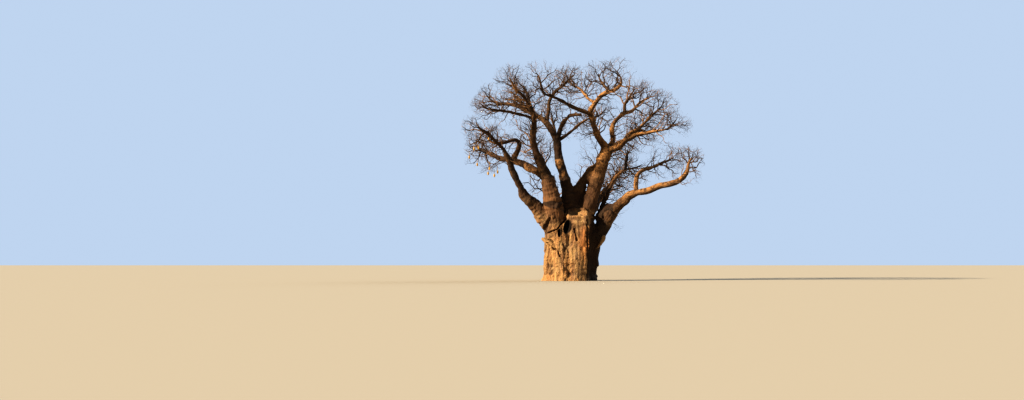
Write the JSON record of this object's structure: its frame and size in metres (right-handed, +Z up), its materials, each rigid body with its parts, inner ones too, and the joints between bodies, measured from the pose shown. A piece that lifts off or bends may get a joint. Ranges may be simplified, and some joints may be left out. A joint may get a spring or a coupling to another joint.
{
  "type": "baobab tree",
  "caption": "Bare baobab tree with a squat furrowed trunk of grown-together stems, thick forked boughs and a wide flat-topped crown of crooked twigs.",
  "frame": {"origin": "on the level ground, at the middle of the flat cut under the trunk", "axes": "+Z up, +X to the viewer's right and +Y away from a viewer who sees the tree as pictured"},
  "size_m": [15.5903, 14.5765, 15.3294],
  "materials": {
    "trunk_bark": "matt, furrowed bark",
    "limb_bark": "matt, smooth folded bark",
    "twigs": "matt twig bark"
  },
  "bodies": {
    "root": {"trunk": "trunk_bark", "left_stem": "limb_bark", "low_left_bough": "limb_bark", "left_bough": "limb_bark", "left_elbow": "limb_bark", "upper_left_bough": "limb_bark", "crown_left_branch": "limb_bark", "left_arm_low": "limb_bark", "left_arm_high": "limb_bark", "centre_bough": "limb_bark", "centre_left_branch": "limb_bark", "centre_top_branch": "limb_bark", "centre_hook": "limb_bark", "centre_dark_branch": "limb_bark", "right_bough": "limb_bark", "top_bough": "limb_bark", "top_right_branch": "limb_bark", "top_inner_branch": "limb_bark", "top_left_branch": "limb_bark", "mid_right_branch": "limb_bark", "shoulder_bough": "limb_bark", "shoulder_branch": "limb_bark", "low_right_bough": "limb_bark", "low_right_arm": "limb_bark", "low_right_twist": "limb_bark", "right_riser": "limb_bark", "back_left_bough": "limb_bark", "back_middle_bough": "limb_bark", "back_right_bough": "limb_bark", "back_right_branch": "limb_bark", "low_back_bough": "limb_bark", "low_left_twigs": "twigs", "left_twigs": "twigs", "left_hanging_twigs": "twigs", "elbow_twigs": "twigs", "left_arm_low_twigs": "twigs", "left_arm_high_twigs": "twigs", "upper_left_twigs": "twigs", "crown_left_twigs": "twigs", "centre_left_twigs": "twigs", "centre_top_twigs": "twigs", "centre_dark_twigs": "twigs", "top_loop_twigs": "twigs", "top_twigs": "twigs", "top_inner_twigs": "twigs", "top_left_twigs": "twigs", "mid_right_twigs": "twigs", "mid_top_twigs": "twigs", "shoulder_tip_twigs": "twigs", "shoulder_twigs": "twigs", "low_right_twigs": "twigs", "twist_twigs": "twigs", "riser_twigs": "twigs", "riser_side_twigs": "twigs", "back_left_twigs": "twigs", "back_middle_twigs": "twigs", "back_right_twigs": "twigs", "back_top_twigs": "twigs", "low_back_twigs": "twigs"}
  },
  "joints": []
}
